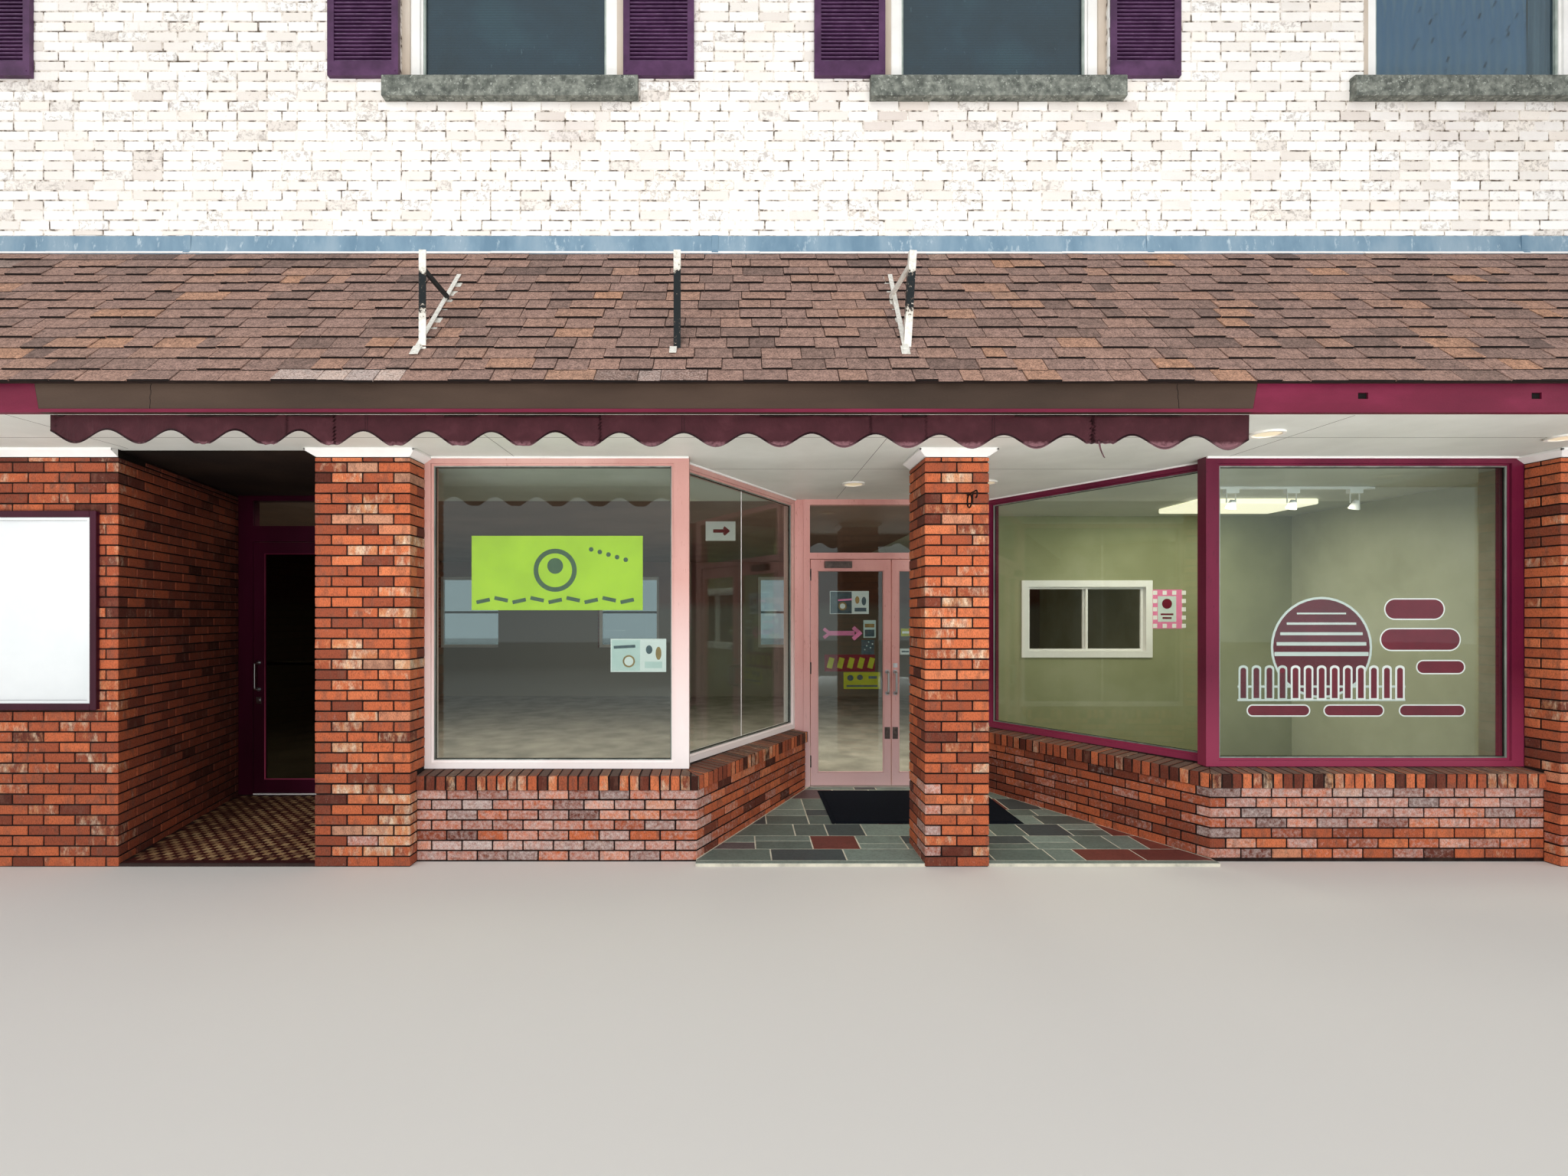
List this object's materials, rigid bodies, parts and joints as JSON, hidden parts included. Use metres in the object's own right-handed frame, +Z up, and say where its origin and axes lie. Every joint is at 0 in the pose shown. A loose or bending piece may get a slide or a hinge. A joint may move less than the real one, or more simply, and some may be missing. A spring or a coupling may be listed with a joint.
{
  "type": "two-storey brick shop building",
  "caption": "Two-storey brick shop building with a recessed double entrance between slanted show windows, a side entry, a shingled pent roof, a scalloped valance and louvred shutters.",
  "frame": {"origin": "centre of the ground below the building's whole outline", "axes": "+Z up, +Y from the street front into the building, +X to the right as seen from the street"},
  "size_m": [13.8976, 10.6396, 8.3285],
  "materials": {
    "concrete": "rough",
    "slate": "honed",
    "tile": "matte",
    "brick": "rough",
    "white_brick": "rough",
    "white_trim": "painted",
    "pink_paint": "satin",
    "maroon_paint": "satin",
    "fascia_paint": "painted",
    "glass": "clear",
    "hardware": "satin",
    "soffit_board": "painted",
    "lamp_trim": "satin",
    "valance_vinyl": "coated",
    "shingle": "mineral granules",
    "galvanised": "weathered",
    "rusty_steel": "rusty",
    "sill_stone": "weathered",
    "window_paint": "painted",
    "shutter_vinyl": "matte",
    "roofing": "gravelled felt",
    "ceiling_board": "matte",
    "green_plaster": "painted",
    "floor_board": "worn",
    "board_face": "satin",
    "black_iron": "painted",
    "casing_paint": "painted"
  },
  "bodies": {
    "building": {"ground_slab": "concrete", "slate_floor": "slate", "tile_floor": "tile", "left_front_wall": "brick", "splayed_entry_wall": "brick", "entry_pier": "brick", "entry_side_wall": "brick", "middle_pillar": "brick", "right_pier": "brick", "pier_trims": "white_trim", "front_bulkheads": "brick", "angled_bulkheads": "brick", "left_window_frame": "pink_paint", "left_angled_frame": "pink_paint", "right_window_frame": "maroon_paint", "right_angled_frame": "maroon_paint", "shopfront_glass": "glass", "entry_frame": "pink_paint", "side_door_frame": "maroon_paint", "soffit": "soffit_board", "soffit_lights": "lamp_trim", "fascia": "fascia_paint", "roof_ends": "fascia_paint", "valance": "valance_vinyl", "pent_roof": "shingle", "roof_flashing": "galvanised", "sign_brackets": "rusty_steel", "upper_wall_bands": "white_brick", "upper_wall_piers": "white_brick", "upper_sills": "sill_stone", "upper_window_frames": "window_paint", "window_glass": "glass", "shutters": "shutter_vinyl", "party_walls": "brick", "back_wall_bands": "brick", "back_wall_piers": "brick", "back_window_frames": "window_paint", "upper_floor": "floor_board", "roof_deck": "roofing", "coping": "sill_stone", "shop_ceiling": "ceiling_board", "serving_wall": "green_plaster", "directory_board": "board_face", "plant_hook": "black_iron", "door_sills": "hardware", "upper_window_casings": "casing_paint", "hatch_frame": "white_trim"},
    "left_door": {"left_door_leaf": "pink_paint", "left_door_glass": "glass", "left_door_hardware": "hardware"},
    "right_door": {"right_door_leaf": "pink_paint", "right_door_glass": "glass", "right_door_hardware": "hardware"},
    "side_door": {"side_door_leaf": "maroon_paint", "side_door_glass": "glass", "side_door_hardware": "hardware"}
  },
  "joints": [
    {"name": "left_door_hinge", "type": "hinge", "parent": "building", "child": "left_door", "pos_m": [1.2505, -2.5108, 0.06], "axis": [0, 0, -1], "range_deg": [0, 90]},
    {"name": "right_door_hinge", "type": "hinge", "parent": "building", "child": "right_door", "pos_m": [2.7545, -2.5108, 0.06], "axis": [0, 0, 1], "range_deg": [0, 90]},
    {"name": "side_door_hinge", "type": "hinge", "parent": "building", "child": "side_door", "pos_m": [-2.877, -2.7368, 0.06], "axis": [0, 0, 1], "range_deg": [0, 90]}
  ]
}
